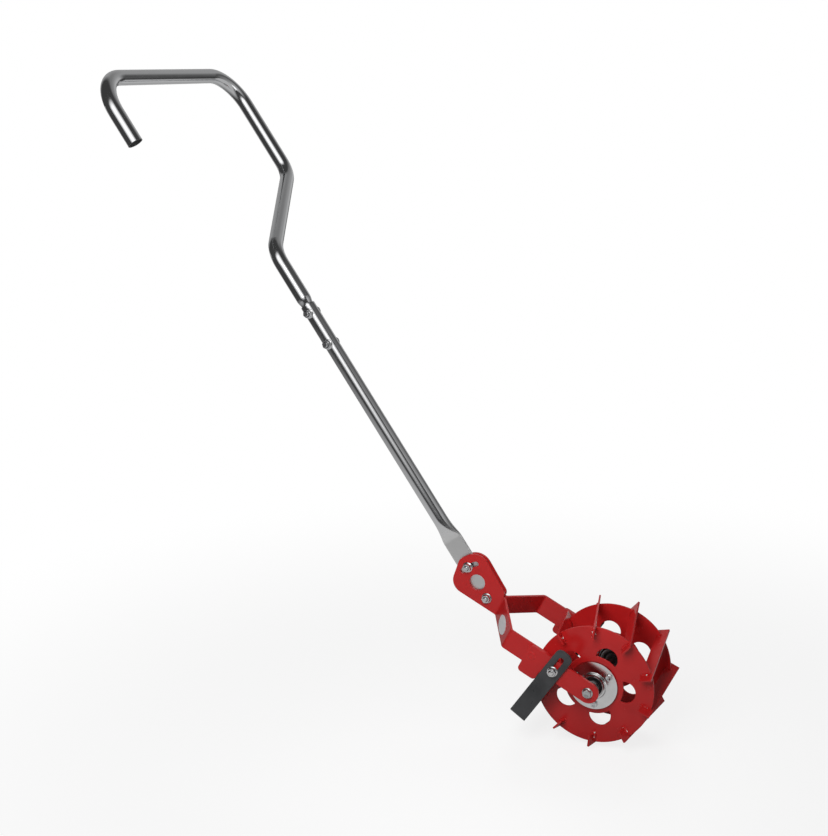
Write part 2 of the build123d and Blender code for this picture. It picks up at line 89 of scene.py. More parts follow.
class Shader:
    """A material with a Principled shader and short ways to add nodes to it."""

    def __init__(self, name):
        self.material = bpy.data.materials.new(name)
        self.material.use_nodes = True
        self.tree = self.material.node_tree
        self.surface = self.tree.nodes["Principled BSDF"]
        self.place = self.add("ShaderNodeTexCoord").outputs["Object"]

    def add(self, kind, **settings):
        node = self.tree.nodes.new(kind)
        for key, value in settings.items():
            setattr(node, key, value)
        return node

    def feed(self, socket, source):
        if hasattr(source, "is_linked"):
            self.tree.links.new(source, socket)
        else:
            socket.default_value = source

    def set(self, **sockets):
        for key, source in sockets.items():
            self.feed(self.surface.inputs[key.replace("_", " ")], source)

    def noise(self, scale, detail=3.0, stretch=None):
        node = self.add("ShaderNodeTexNoise")
        node.inputs["Scale"].default_value = scale
        node.inputs["Detail"].default_value = detail
        self.feed(node.inputs["Vector"], self.place if stretch is None else self.stretched(stretch))
        return node.outputs["Fac"]

    def stretched(self, factors):
        """Object coordinates turned so that x runs along the handle shaft, then scaled."""
        node = self.add("ShaderNodeMapping")
        node.inputs["Rotation"].default_value = (0.0, math.pi - handle_angle, 0.0)
        node.inputs["Scale"].default_value = factors
        self.feed(node.inputs["Vector"], self.place)
        return node.outputs["Vector"]

    def span(self, value, low, high, start=NOISE_LOW, end=NOISE_HIGH, interpolation="LINEAR"):
        """From low to high while a value goes from start to end."""
        node = self.add("ShaderNodeMapRange", interpolation_type=interpolation)
        self.feed(node.inputs["Value"], value)
        node.inputs["From Min"].default_value = start
        node.inputs["From Max"].default_value = end
        node.inputs["To Min"].default_value = low
        node.inputs["To Max"].default_value = high
        return node.outputs["Result"]

    def rise(self, value, start=NOISE_LOW, end=NOISE_HIGH):
        return self.span(value, 0.0, 1.0, start, end)

    def fall(self, value, start, end):
        return self.span(value, 1.0, 0.0, start, end)

    def blend(self, share, first, second):
        """Colour between two others."""
        node = self.add("ShaderNodeMix", data_type="RGBA")
        self.feed(node.inputs["Factor"], share)
        self.feed(node.inputs[6], first)
        self.feed(node.inputs[7], second)
        return node.outputs[2]

    def maths(self, operation, first, second):
        node = self.add("ShaderNodeMath", operation=operation)
        self.feed(node.inputs[0], first)
        self.feed(node.inputs[1], second)
        return node.outputs[0]

    def mixed(self, share, first, second):
        """Number between two others."""
        step = self.maths("MULTIPLY", share, self.maths("SUBTRACT", second, first))
        return self.maths("ADD", first, step)

    def vector(self, operation, first, second=None, result="Vector"):
        node = self.add("ShaderNodeVectorMath", operation=operation)
        self.feed(node.inputs[0], first)
        if second is not None:
            self.feed(node.inputs[1], second)
        return node.outputs[result]

    def along(self, direction, origin):
        """Distance of a surface point from an origin along a direction, in metres."""
        away = self.vector("SUBTRACT", self.place, origin)
        return self.vector("DOT_PRODUCT", away, direction, "Value")

    def off_line(self, direction, origin):
        """Distance of a surface point from a line, in metres."""
        away = self.vector("SUBTRACT", self.place, origin)
        across = self.vector("CROSS_PRODUCT", away, direction)
        return self.vector("LENGTH", across, result="Value")

    def bump(self, height, distance, strength=1.0, normal=None):
        node = self.add("ShaderNodeBump")
        node.inputs["Strength"].default_value = strength
        node.inputs["Distance"].default_value = distance
        self.feed(node.inputs["Height"], height)
        if normal is not None:
            self.feed(node.inputs["Normal"], normal)
        return node.outputs["Normal"]


def grey(level):
    return (level, level, level, 1.0)


# Colours of paints, plating and rubber, and of painted shade and painted glints
WHITE = grey(1.0)
DEEP_RED = (0.48, 0.0140, 0.0145, 1.0)
LIGHT_RED = (0.54, 0.0175, 0.0180, 1.0)
PAINTED_GLINT = grey(0.80)
DRAWN_DARK = (0.62, 0.625, 0.635, 1.0)
DRAWN_LIGHT = (0.68, 0.685, 0.695, 1.0)
PRESSED_DARK = grey(0.70)
PRESSED_LIGHT = grey(0.76)
END_SHADE_COLOUR = grey(0.07)
ZINC_BLUISH = (0.60, 0.61, 0.625, 1.0)
ZINC_PALE = grey(0.70)
DULL_ZINC_BLUISH = (0.43, 0.435, 0.445, 1.0)
DULL_ZINC_PALE = grey(0.54)
TURNED_DARK = (0.45, 0.45, 0.455, 1.0)
TURNED_LIGHT = (0.57, 0.57, 0.575, 1.0)
DRUM_SHADE = grey(0.13)
PAINT_BLACK = (0.022, 0.023, 0.025, 1.0)
PAINT_SOOT = (0.047, 0.048, 0.051, 1.0)
OXIDE_BLACK = (0.020, 0.020, 0.021, 1.0)
OXIDE_GREY = (0.045, 0.045, 0.047, 1.0)
RUBBER_BLACK = (0.005, 0.0045, 0.0045, 1.0)
RUBBER_GREY = (0.010, 0.009, 0.009, 1.0)
FILM_DARK = (0.80, 0.805, 0.815, 1.0)
FILM_LIGHT = (0.87, 0.875, 0.885, 1.0)

# Zones of the handle tube, its painted shade in the hook's open end among them, and of painted shade between the
# bearings, as start and end of a fade in metres
PRESSED_ZONE = (0.117, 0.153)
NEAR_ZONE = (0.10, 0.11)
CUT_END_ZONE = (0.0002, 0.0005)
BORE_ZONE = (0.0110, 0.0115)
BORE_DEPTH_ZONE = (0.03, 0.04)
DRUM_SHADE_ZONE = (0.0005, 0.0020)


# Materials
def red_paint(name, smooth, rough, specks=False):
    """Red coat with a fine peel, and, where it covers welds, a few pale specks painted in as glints."""
    shader = Shader(name)
    cloud = shader.rise(shader.noise(scale=16.0, detail=4.0))
    colour = shader.blend(cloud, DEEP_RED, LIGHT_RED)
    if specks:
        # Painted glints: a few pale specks on the weld beads.
        glint_speck_mask = shader.rise(shader.noise(scale=230.0, detail=0.0), start=0.67, end=0.71)
        colour = shader.blend(glint_speck_mask, colour, PAINTED_GLINT)
    peel = shader.bump(shader.noise(scale=380.0, detail=2.0), distance=0.00005, strength=0.35)
    grain = shader.bump(shader.noise(scale=1900.0, detail=1.0), distance=0.00001, strength=0.3, normal=peel)
    gloss = shader.span(shader.noise(scale=55.0), smooth, rough)
    shader.set(Base_Color=colour, Roughness=gloss, Normal=grain, Specular_IOR_Level=0.36)
    return shader.material


def plated_tube():
    """Drawn and plated tube, matt where it is pressed flat, with painted shade in the hook's open end."""
    shader = Shader("bright_plated_tube")
    station = shader.along(shaft_up, pivot)
    from_end = shader.along(shaft_up, hook_end)
    pressed = shader.fall(station, *PRESSED_ZONE)
    streaks = shader.noise(scale=1.0, stretch=(6.0, 900.0, 900.0))
    cloud = shader.noise(scale=28.0)
    bright = shader.span(cloud, low=0.09, high=0.15)
    matte = shader.span(cloud, low=0.38, high=0.44)
    near_side = shader.rise(shader.along((0, -1, 0), pivot), *NEAR_ZONE)
    cut_end = shader.fall(from_end, *CUT_END_ZONE)
    bore = shader.fall(shader.off_line(shaft_up, hook_end), *BORE_ZONE)
    by_end = shader.fall(from_end, *BORE_DEPTH_ZONE)
    # Painted shade: the cut rim and the bore near the hook's open end turn dark, matt and not metal.
    dull = shader.maths("MAXIMUM", cut_end, shader.maths("MULTIPLY", bore, by_end))
    end_shade = shader.maths("MULTIPLY", near_side, dull)
    rough = shader.mixed(end_shade, shader.mixed(pressed, bright, matte), 0.6)
    drawn = shader.blend(shader.rise(streaks), DRAWN_DARK, DRAWN_LIGHT)
    flattened = shader.blend(cloud, PRESSED_DARK, PRESSED_LIGHT)
    colour = shader.blend(end_shade, shader.blend(pressed, drawn, flattened), END_SHADE_COLOUR)
    plated = shader.maths("SUBTRACT", 1.0, end_shade)
    wave = shader.bump(shader.noise(scale=30.0, detail=1.0), distance=0.0001, strength=0.25)
    draw = shader.bump(streaks, distance=0.000006, strength=0.5, normal=wave)
    shader.set(Base_Color=colour, Metallic=plated, Roughness=rough, Normal=draw)
    return shader.material


def zinc_plate(name, bluish, pale, smooth, rough):
    shader = Shader(name)
    cloud = shader.noise(scale=120.0, detail=4.0)
    colour = shader.blend(shader.rise(cloud), bluish, pale)
    grain = shader.bump(shader.noise(scale=1400.0, detail=2.0), distance=0.00001, strength=0.4)
    shader.set(Base_Color=colour, Metallic=1.0, Roughness=shader.span(cloud, smooth, rough), Normal=grain)
    return shader.material


def pressed_zinc(name, level):
    shader = Shader(name)
    cloud = shader.noise(scale=70.0, detail=5.0)
    colour = shader.blend(shader.rise(cloud), grey(level), grey(level * 1.12))
    grain = shader.bump(shader.noise(scale=900.0), distance=0.00001, strength=0.4)
    rough = shader.span(cloud, low=0.13, high=0.22)
    shader.set(Base_Color=colour, Metallic=1.0, Roughness=rough, Normal=grain)
    return shader.material


def turned_steel():
    """Steel with turning marks, bright outside the bearings, with painted shade between them inside the drum."""
    shader = Shader("turned_steel")
    lines = shader.noise(scale=1.0, detail=2.0, stretch=(300.0, 5200.0, 300.0))
    bright = shader.blend(lines, TURNED_DARK, TURNED_LIGHT)
    _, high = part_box("bearing_outer_ring_near")
    inner_face = abs(high.y)
    drum_shade_from, drum_shade_to = (inner_face + step for step in DRUM_SHADE_ZONE)
    off_middle = shader.maths("ABSOLUTE", shader.along((0, 1, 0), (0, 0, 0)), 0.0)
    # Painted shade: the steel is darker between the bearings, inside the drum.
    colour = shader.blend(shader.fall(off_middle, drum_shade_from, drum_shade_to), bright, DRUM_SHADE)
    grain = shader.bump(lines, distance=0.00001, strength=0.5)
    rough = shader.span(lines, low=0.32, high=0.42)
    shader.set(Base_Color=colour, Metallic=1.0, Roughness=rough, Normal=grain)
    return shader.material


def black_paint():
    shader = Shader("satin_black_paint")
    cloud = shader.rise(shader.noise(scale=22.0, detail=4.0), start=0.36, end=0.64)
    colour = shader.blend(cloud, PAINT_BLACK, PAINT_SOOT)
    grain = shader.bump(shader.noise(scale=700.0), distance=0.00003, strength=0.4)
    rough = shader.span(shader.noise(scale=40.0), low=0.27, high=0.36)
    shader.set(Base_Color=colour, Roughness=rough, Normal=grain)
    return shader.material


def black_steel():
    shader = Shader("black_oxide_steel")
    cloud = shader.noise(scale=200.0)
    colour = shader.blend(cloud, OXIDE_BLACK, OXIDE_GREY)
    grain = shader.bump(cloud, distance=0.00001, strength=0.5)
    rough = shader.span(cloud, low=0.35, high=0.5)
    shader.set(Base_Color=colour, Metallic=0.6, Roughness=rough, Normal=grain)
    return shader.material


def seal_rubber():
    shader = Shader("black_seal_rubber")
    cloud = shader.noise(scale=300.0, detail=4.0)
    colour = shader.blend(cloud, RUBBER_BLACK, RUBBER_GREY)
    grain = shader.bump(cloud, distance=0.00003, strength=0.5)
    rough = shader.span(cloud, low=0.6, high=0.75)
    shader.set(Base_Color=colour, Roughness=rough, Normal=grain, Specular_IOR_Level=0.2)
    return shader.material


def label_film():
    shader = Shader("plain_silver_film")
    lines = shader.noise(scale=1.0, detail=2.0, stretch=(40.0, 2600.0, 2600.0))
    colour = shader.blend(lines, FILM_DARK, FILM_LIGHT)
    grain = shader.bump(lines, distance=0.000005, strength=0.5)
    rough = shader.span(lines, low=0.32, high=0.42)
    shader.set(Base_Color=colour, Metallic=0.4, Roughness=rough, Normal=grain)
    return shader.material


materials = {
    "plated_tube": plated_tube(),
    "red_paint": red_paint("red_powder_coat", smooth=0.20, rough=0.28),
    "black_paint": black_paint(),
    "zinc_plate": zinc_plate("bright_zinc", ZINC_BLUISH, ZINC_PALE, smooth=0.22, rough=0.30),
    "bright_steel": turned_steel(),
    "black_steel": black_steel(),
    "seal_rubber": seal_rubber(),
    "label_film": label_film()}
dull_zinc = zinc_plate("dull_zinc", DULL_ZINC_BLUISH, DULL_ZINC_PALE, smooth=0.26, rough=0.36)
outer_housing = pressed_zinc("pressed_zinc_sheet", level=0.66)
# Inner housing halves inside the drum: the same pressed zinc, painted darker as shade.
shaded_inner_housing = pressed_zinc("shaded_zinc_sheet", level=0.16)
# Glossier red coat on the weld beads, with the painted glint specks.
weld_paint = red_paint("thick_red_coat", smooth=0.10, rough=0.14, specks=True)


def paint(node, material):
    if not node.material_slots:
        node.data.materials.append(material)
    for slot in node.material_slots:
        slot.material = material


def paint_nodes():
    for row in frame["record"]["subparts"]:
        paint(nodes[row["node"]], materials[row["material_slot"]])
    for name, node in nodes.items():
        if name.startswith("housing_outer"):
            paint(node, outer_housing)
        elif name.startswith("housing_inner"):
            paint(node, shaded_inner_housing)


# Rounded edges on cut and pressed sheet, in metres
MERGE_DISTANCE = 0.000002
EDGE_SEGMENTS = 3
EDGE_ANGLE = math.radians(35.0)
EDGE_RADII = {
    "fork_leg": 0.0009,
    "axle_arm": 0.0009,
    "wheel_disc": 0.0006,
    "wheel_blade": 0.0005,
    "stirrup_knife": 0.0006}


def round_edges(node, width):
    weld = node.modifiers.new("join", "WELD")
    weld.merge_threshold = MERGE_DISTANCE
    bevel = node.modifiers.new("edges", "BEVEL")
    bevel.width = width
    bevel.segments = EDGE_SEGMENTS
    bevel.limit_method = "ANGLE"
    bevel.angle_limit = EDGE_ANGLE
    bevel.miter_outer = "MITER_ARC"
    normals = node.modifiers.new("normals", "WEIGHTED_NORMAL")
    normals.keep_sharp = False


def round_sheet_edges():
    for name, node in nodes.items():
        for start, radius in EDGE_RADII.items():
            if name.startswith(start):
                round_edges(node, radius)


# Meshes made of rings
SHARP_ANGLE = math.radians(40.0)


def ring_object(name, rings, closed=False, scale=MM):
    """Skin over rings of equal count. An open skin gets a cap on both ends."""
    mesh = bpy.data.meshes.new(name)
    count = len(rings[0])
    points = [Vector(point) * scale for ring in rings for point in ring]
    faces = []
    last = len(rings) if closed else len(rings) - 1
    for row in range(last):
        here = row * count
        there = (row + 1) % len(rings) * count
        for column in range(count):
            beside = (column + 1) % count
            faces.append((here + column, here + beside, there + beside, there + column))
    if not closed:
        faces.append(tuple(reversed(range(count))))
        faces.append(tuple(range((len(rings) - 1) * count, len(rings) * count)))
    mesh.from_pydata(points, [], faces)
    return finished(name, mesh)


def shade(mesh):
    mesh.shade_smooth()
    mesh.set_sharp_from_angle(angle=SHARP_ANGLE)


def finished(name, mesh):
    mesh.validate()
    shade(mesh)
    made = bpy.data.objects.new(name, mesh)
    scene.collection.objects.link(made)
    return made


def joined(name, pieces):
    """One object out of several meshes."""
    shape = bmesh.new()
    for piece in pieces:
        piece.data.transform(piece.matrix_basis)
        shape.from_mesh(piece.data)
        bpy.data.objects.remove(piece)
    mesh = bpy.data.meshes.new(name)
    shape.to_mesh(mesh)
    shape.free()
    return finished(name, mesh)


def keep(piece, body, slot, *replaced):
    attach(piece, body)
    if replaced:
        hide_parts(*replaced)
    piece.data.materials.clear()
    piece.data.materials.append(materials[slot])


# Fasteners on the local z axis, in millimetres, seated at z = 0
Size = namedtuple("Size", "radius pitch dish head")
M8 = Size(radius=4.0, pitch=1.25, dish=4.2, head=8.0)
M6 = Size(radius=3.0, pitch=1.0, dish=3.2, head=4.0)
M8_FLATS = 13.0
M8_FLANGE = 17.9
M8_HEIGHT = 8.0
LOW_M8_HEIGHT = 6.4
FLANGE_HEIGHT = 2.3
FLANGE_LIP = 1.2
M6_FLATS = 10.0
M6_HEAD_HEIGHT = 4.0
M6_NUT_HEIGHT = 5.0
HEX_CORNER = 0.566
HEX_FACE = 0.475
HEX_CHAMFER = math.tan(math.radians(30.0))
THREAD_DEPTH = 0.55
ROWS_PER_PITCH = 6
PLAIN_SHANK = 3.0
LONGEST_THREAD = 6.0
TURNS = 72
SEAT_GAP = 0.03 * MM


def circle(radius, height):
    return [(radius, height)] * TURNS


def around(outline):
    """Ring of points from one (radius, height) pair for each step of a turn."""
    points = []
    for step, (radius, height) in enumerate(outline):
        angle = 2 * math.pi * step / TURNS
        points.append((radius * math.cos(angle), radius * math.sin(angle), height))
    return points


def hexagon(flats, height_at, shrink=0.0):
    """Outline of a hexagon with trimmed corners, at a height that follows the radius."""
    outline = []
    for step in range(TURNS):
        fold = (step % (TURNS // 6)) * 2 * math.pi / TURNS - math.pi / 6
        radius = min(flats / 2 / math.cos(fold), flats * HEX_CORNER) - shrink
        outline.append((radius, height_at(radius)))
    return outline


def crown_top(flats, height):
    """Chamfered top of a hexagon: side edge, chamfer and flat."""
    face = flats * HEX_FACE

    def chamfer(radius):
        return height - max(0.0, radius - face) * HEX_CHAMFER

    return [
        hexagon(flats, lambda radius: chamfer(radius) - 0.12),
        hexagon(flats, chamfer, 0.1),
        circle(face + 0.1, height - 0.03),
        circle(face - 0.15, height)]


def flange_crown(flats, flange, height, flange_height, lip):
    """Rounded flange, its slope up to the hexagon, then the hexagon's top."""
    outer = flange / 2

    def slope(radius):
        return lip + (outer - radius) / (outer - flats / 2) * (flange_height - lip)

    rows = [
        circle(outer - 0.35, 0.0),
        circle(outer - 0.08, 0.12),
        circle(outer, 0.4),
        circle(outer, lip - 0.35),
        circle(outer - 0.12, lip - 0.08),
        circle(outer - 0.4, lip + 0.1),
        hexagon(flats, slope, -0.45),
        hexagon(flats, lambda radius: slope(radius) + 0.08, -0.2),
        hexagon(flats, lambda radius: slope(radius) + 0.3, -0.05),
        hexagon(flats, lambda radius: slope(radius) + 0.6)]
    return rows + crown_top(flats, height)


def plain_crown(flats, height):
    rows = [hexagon(flats, lambda radius: 0.0, 0.12), hexagon(flats, lambda radius: 0.12)]
    return rows + crown_top(flats, height)


def thread(radius, pitch, low, high):
    """Rows of a helical thread from low to high."""
    rows = []
    steps = max(2, round((high - low) / pitch * ROWS_PER_PITCH))
    for row in range(steps + 1):
        height = low + (high - low) * row / steps
        outline = []
        for step in range(TURNS):
            phase = (height / pitch + step / TURNS) % 1.0
            outline.append((radius - THREAD_DEPTH * pitch * abs(2 * phase - 1), height))
        rows.append(outline)
    return rows


def bolt(name, crown, size, grip, threaded):
    """Headed bolt: tip, thread, shank, then the head with a dish in it."""
    radius, pitch, dish, _ = size
    rows = [
        circle(radius * 0.55, -grip),
        circle(radius * 0.75, -grip),
        circle(radius - 0.6 * pitch, -grip + 0.35)]
    rows += thread(radius, pitch, -grip + 0.7, -grip + threaded)
    rows += [circle(radius, -grip + threaded + 0.6), circle(radius, 0.0)]
    rows += crown
    top = crown[-1][0][1]
    rows += [circle(dish, top), circle(dish - 0.9, top - 0.7), circle(0.8, top - 0.9)]
    return ring_object(name, [around(row) for row in rows])


def nut(name, crown, radius):
    """Crown with a plain hole, widened at both ends."""
    top = crown[-1][0][1]
    hole = [
        circle(radius + 0.75, top),
        circle(radius + 0.08, top - 0.6),
        circle(radius + 0.08, 0.5),
        circle(radius + 0.5, 0.0)]
    return ring_object(name, [around(row) for row in crown + hole], closed=True)


def m8_crown():
    return flange_crown(M8_FLATS, M8_FLANGE, M8_HEIGHT, FLANGE_HEIGHT, FLANGE_LIP)


def low_m8_crown():
    return flange_crown(M8_FLATS, M8_FLANGE, LOW_M8_HEIGHT, FLANGE_HEIGHT, FLANGE_LIP)


def m6_head():
    return plain_crown(M6_FLATS, M6_HEAD_HEIGHT)


def m6_nut():
    return plain_crown(M6_FLATS, M6_NUT_HEIGHT)


def islands(name):
    """Lowest and highest corner of each separate solid of a node."""
    shape = bmesh.new()
    shape.from_mesh(nodes[name].data)
    bmesh.ops.remove_doubles(shape, verts=shape.verts, dist=MERGE_DISTANCE)
    found = []
    left = set(shape.verts)
    while left:
        group = [left.pop()]
        for vert in group:
            for edge in vert.link_edges:
                other = edge.other_vert(vert)
                if other in left:
                    left.remove(other)
                    group.append(other)
        low = Vector(min(vert.co[axis] for vert in group) for axis in range(3))
        high = Vector(max(vert.co[axis] for vert in group) for axis in range(3))
        found.append((low, high))
    shape.free()
    return sorted(found, key=lambda box: tuple(round(value, 5) for value in box[0]))


def facing(outward):
    """Turn of local z to outward * y."""
    return Matrix.Rotation(math.radians(-90.0 * outward), 4, "X")


def on_axis(piece, low, high, seat, outward):
    """Put a fastener on a solid's axis, just clear of y = seat, with its head towards outward * y."""
    spin = Matrix.Rotation(chance.uniform(0.0, math.pi / 3), 4, "Z")
    middle = (low + high) / 2
    place = Matrix.Translation((middle.x, seat + outward * SEAT_GAP, middle.z))
    piece.matrix_basis = place @ facing(outward) @ spin
    return piece


def through_bolts(node, body, crown, size, head_side):
    """Bolts of one node. A head side is the y direction that the head points to."""
    pieces = []
    for index, (low, high) in enumerate(islands(node)):
        outward = head_side(low, high)
        seat = high.y - size.head * MM if outward > 0 else low.y + size.head * MM
        grip = (high.y - low.y) / MM - size.head
        threaded = min(grip - PLAIN_SHANK, LONGEST_THREAD)
        made = bolt(f"{node}_{index}", crown(), size, grip, threaded)
        pieces.append(on_axis(made, low, high, seat, outward))
    bolts = joined(f"{node}_detail", pieces)
    keep(bolts, body, "zinc_plate", node)
    return bolts


def nuts(node, body, crown, size, side):
    """Nuts of one node. A side is the y direction that the nut's top points to."""
    pieces = []
    for index, (low, high) in enumerate(islands(node)):
        outward = side(low, high)
        seat = low.y if outward > 0 else high.y
        made = nut(f"{node}_{index}", crown(), size.radius)
        pieces.append(on_axis(made, low, high, seat, outward))
    keep(joined(f"{node}_detail", pieces), body, "zinc_plate", node)


def outside(low, high):
    """Away from the middle plane."""
    return 1 if low.y + high.y > 0 else -1


def inside(low, high):
    return -outside(low, high)


def far(low, high):
    return 1


def near(low, high):
    return -1


def add_fasteners():
    through_bolts("tilt_clamp_bolt", "handle", m8_crown, M8, far)
    through_bolts("tilt_pivot_bolt", "fork", m8_crown, M8, far)
    nuts("tilt_clamp_nut", "handle", m8_crown, M8, near)
    nuts("tilt_pivot_nut", "fork", m8_crown, M8, near)
    axle_bolts = through_bolts("axle_bolts", "fork", low_m8_crown, M8, outside)
    paint(axle_bolts, dull_zinc)
    through_bolts("knife_bolts", "fork", m8_crown, M8, inside)
    nuts("knife_nuts", "fork", m8_crown, M8, outside)
    through_bolts("handle_joint_bolts", "handle", low_m8_crown, M8, far)
    nuts("handle_joint_nuts", "handle", m8_crown, M8, near)
    through_bolts("housing_bolts", "wheel", m6_head, M6, outside)
    nuts("housing_nuts", "wheel", m6_nut, M6, inside)


# Lower handle tube with its foot pressed flat, in millimetres along the shaft from the tilt pivot
TUBE = 25.4
BORE = 21.4
TANG = 4.5
PRESS_LINE = 117.5
FLARE = 37.0
TUBE_TOP = 585.5
SHAFT_HOLES = ((0.0, 4.08), (61.4, 4.3), (508.5, 4.3), (570.5, 4.3))
TUBE_SIDES = 96
FOOT_STEPS = 24
PRESS_LEAD = 5.0
PRESS_STEPS = 48
PRESS_ROUNDING = range(-4, 5)


def thickness_at(station):
    """Thickness of the pressed tube, with the press line rounded over a few millimetres."""
    shares = [(station + shift - PRESS_LINE) / FLARE for shift in PRESS_ROUNDING]
    opened = [min(max(share, 0.0), 1.0) for share in shares]
    return TANG + (TUBE - TANG) * sum(share * (2 - share) for share in opened) / len(opened)


def pressed_ring(thickness, station, narrow=1.0):
    """Ring of a tube pressed to a thickness, with its girth kept."""
    radius = thickness / 2
    flat = math.pi / 4 * (TUBE - thickness)
    quarter = math.pi / 4 * TUBE
    ring = []
    for step in range(TUBE_SIDES):
        side, share = divmod(4 * step / TUBE_SIDES, 1.0)
        reach = quarter * (share if side % 2 == 0 else 1.0 - share)
        turn = min(reach / radius, math.pi / 2)
        across = flat + radius * math.cos(turn) - max(0.0, reach - radius * math.pi / 2)
        out = radius * math.sin(turn)
        ring.append((narrow * (across if side in (0, 3) else -across), out if side < 2 else -out, station))
    return ring


def add_lower_tube():
    half_width = TANG / 2 + math.pi / 4 * (TUBE - TANG)
    rings = []
    for step in range(1, FOOT_STEPS):
        turn = math.pi / 2 * step / FOOT_STEPS
        rings.append(pressed_ring(TANG, -half_width * math.cos(turn), math.sin(turn)))
    stations = [0.0, 1.0, 40.0, 80.0]
    stations += [PRESS_LINE - PRESS_LEAD + step for step in range(PRESS_STEPS)]
    stations += [170.0, 300.0, TUBE_TOP - 2.0, TUBE_TOP - 0.5]
    rings += [pressed_ring(thickness_at(station), station) for station in stations]
    mouth = (
        (TUBE - 0.3, TUBE_TOP - 0.12), (TUBE - 0.8, TUBE_TOP), (BORE + 0.4, TUBE_TOP),
        (BORE, TUBE_TOP - 0.2), (BORE, PRESS_LINE + FLARE + 1.0))
    for diameter, station in mouth:
        wide = diameter / TUBE
        rings.append([(x * wide, y * wide, station) for x, y, _ in pressed_ring(TUBE, station)])
    tube = ring_object("lower_handle_tube_detail", rings)
    cutters = []
    for station, radius in SHAFT_HOLES:
        drill = ring_object("drill", [around(circle(radius, height)) for height in (-TUBE, TUBE)])
        across = Matrix.Rotation(math.pi / 2, 4, "X")
        drill.data.transform(Matrix.Translation((0, 0, station * MM)) @ across)
        cutters.append(drill)
    cut(tube, cutters)
    front = Vector((math.sin(handle_angle), 0.0, math.cos(handle_angle)))
    turn = Matrix((front, (0, 1, 0), shaft_up)).transposed().to_4x4()
    tube.data.transform(Matrix.Translation(pivot) @ turn)
    keep(tube, "handle", "plated_tube", "lower_handle_tube")


def cut(piece, cutters):
    """Take cutters out of a piece."""
    for cutter in cutters:
        hole = piece.modifiers.new("hole", "BOOLEAN")
        hole.object = cutter
        hole.solver = "EXACT"
    graph = bpy.context.evaluated_depsgraph_get()
    mesh = bpy.data.meshes.new_from_object(piece.evaluated_get(graph))
    piece.modifiers.clear()
    piece.data = mesh
    for cutter in cutters:
        bpy.data.objects.remove(cutter)
    shade(mesh)


# Weld beads where the blades pass through the discs, in metres
BLADES = 10
BEAD_STEPS = 30
BEAD_SIDES = 14
BEAD_TIP = 0.12
BEAD_LUMPS = 5
LUMP_SIZE = 0.2
LUMP_TURN = 5.0
LUMP_SHARE = 0.6
RIPPLE_PITCH = 0.0032
RIPPLE_SIZE = 0.18
SIDE_BEAD_LENGTH = (0.008, 0.0115)
SIDE_BEAD_RADIUS = (0.0018, 0.0025)
END_BEAD_RADIUS = (0.0018, 0.0024)
BEAD_INSET = 0.001
SAME_CORNER = 0.0001
SQUARE_WITHIN = 0.01


def bead(name, start, end, radius):
    """Rippled bead along a line, with rounded ends."""
    way = (end - start).normalized()
    side = way.cross(Vector((0, 1, 0))).normalized()
    lift = way.cross(side)
    length = (end - start).length
    lumps = [chance.uniform(-LUMP_SIZE, LUMP_SIZE) for _ in range(BEAD_LUMPS)]
    rings = []
    for step in range(BEAD_STEPS + 1):
        share = step / BEAD_STEPS
        swell = math.sqrt(max(0.0, 1.0 - (2 * share - 1) ** 6))
        ripple = 1.0 + RIPPLE_SIZE * abs(math.sin(share * length / RIPPLE_PITCH * math.pi))
        waves = (lump * math.sin((index + 1) * share * LUMP_TURN) for index, lump in enumerate(lumps))
        slow = 1.0 + sum(waves) * LUMP_SHARE
        thick = radius * (BEAD_TIP + (1.0 - BEAD_TIP) * swell) * ripple * slow
        middle = start + way * (share * length)
        ring = []
        for turn in range(BEAD_SIDES):
            angle = 2 * math.pi * turn / BEAD_SIDES
            ring.append(middle + side * (thick * math.cos(angle)) + lift * (thick * math.sin(angle)))
        rings.append(ring)
    return ring_object(name, rings, scale=1.0)


def blade_axes(name):
    """Middle, outward edge, lengthwise direction and thickness of a flat blade, from its corners."""
    corners = []
    for vert in nodes[name].data.vertices:
        if all((vert.co - other).length > SAME_CORNER for other in corners):
            corners.append(vert.co.copy())
    middle = sum(corners, Vector()) / len(corners)
    edges = sorted((corner - corners[0] for corner in corners[1:]), key=lambda edge: edge.length)
    thickness = edges[0]
    depth = edges[1]
    square = (edge for edge in edges[2:] if abs(edge.normalized().dot(depth.normalized())) < SQUARE_WITHIN)
    length = next(square)
    out = Vector((middle.x - axle.x, 0.0, middle.z - axle.z))
    if depth.dot(out) < 0:
        depth = -depth
    return middle, depth, length.normalized(), thickness.length


def outer_face(node, outward):
    """Place in y of a node's face on its outer side."""
    low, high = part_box(node)
    return low.y if outward < 0 else high.y


def add_blade_welds(disc, name, outward):
    face = outer_face(disc, outward)
    pieces = []
    for index in range(BLADES):
        middle, depth, lengthwise, thickness = blade_axes(f"wheel_blade_{index + 1:02d}")
        out = depth.normalized()
        across = out.cross(Vector((0, 1, 0)))
        point = middle + lengthwise * ((face - middle.y) / lengthwise.y)
        inner = point - depth / 2
        for way in (-1, 1):
            start = inner + across * (way * thickness / 2) + out * BEAD_INSET
            end = start + out * chance.uniform(*SIDE_BEAD_LENGTH)
            pieces.append(bead(f"{name}_{index}_{way + 1}", start, end, chance.uniform(*SIDE_BEAD_RADIUS)))
        reach = across * (thickness / 2 + BEAD_INSET)
        radius = chance.uniform(*END_BEAD_RADIUS)
        pieces.append(bead(f"{name}_{index}_end", inner - reach, inner + reach, radius))
    welds = joined(name, pieces)
    keep(welds, "wheel", "red_paint")
    paint(welds, weld_paint)


# Plug welds that hold the axle arms to the fork legs
PLUG_SETBACK = 0.1066
PLUG_OUTLINE = (
    (7.2, -0.3), (7.0, 0.0), (6.2, 0.35), (5.0, 0.5),
    (3.6, 0.35), (2.2, 0.05), (1.2, -0.05), (0.4, -0.1))


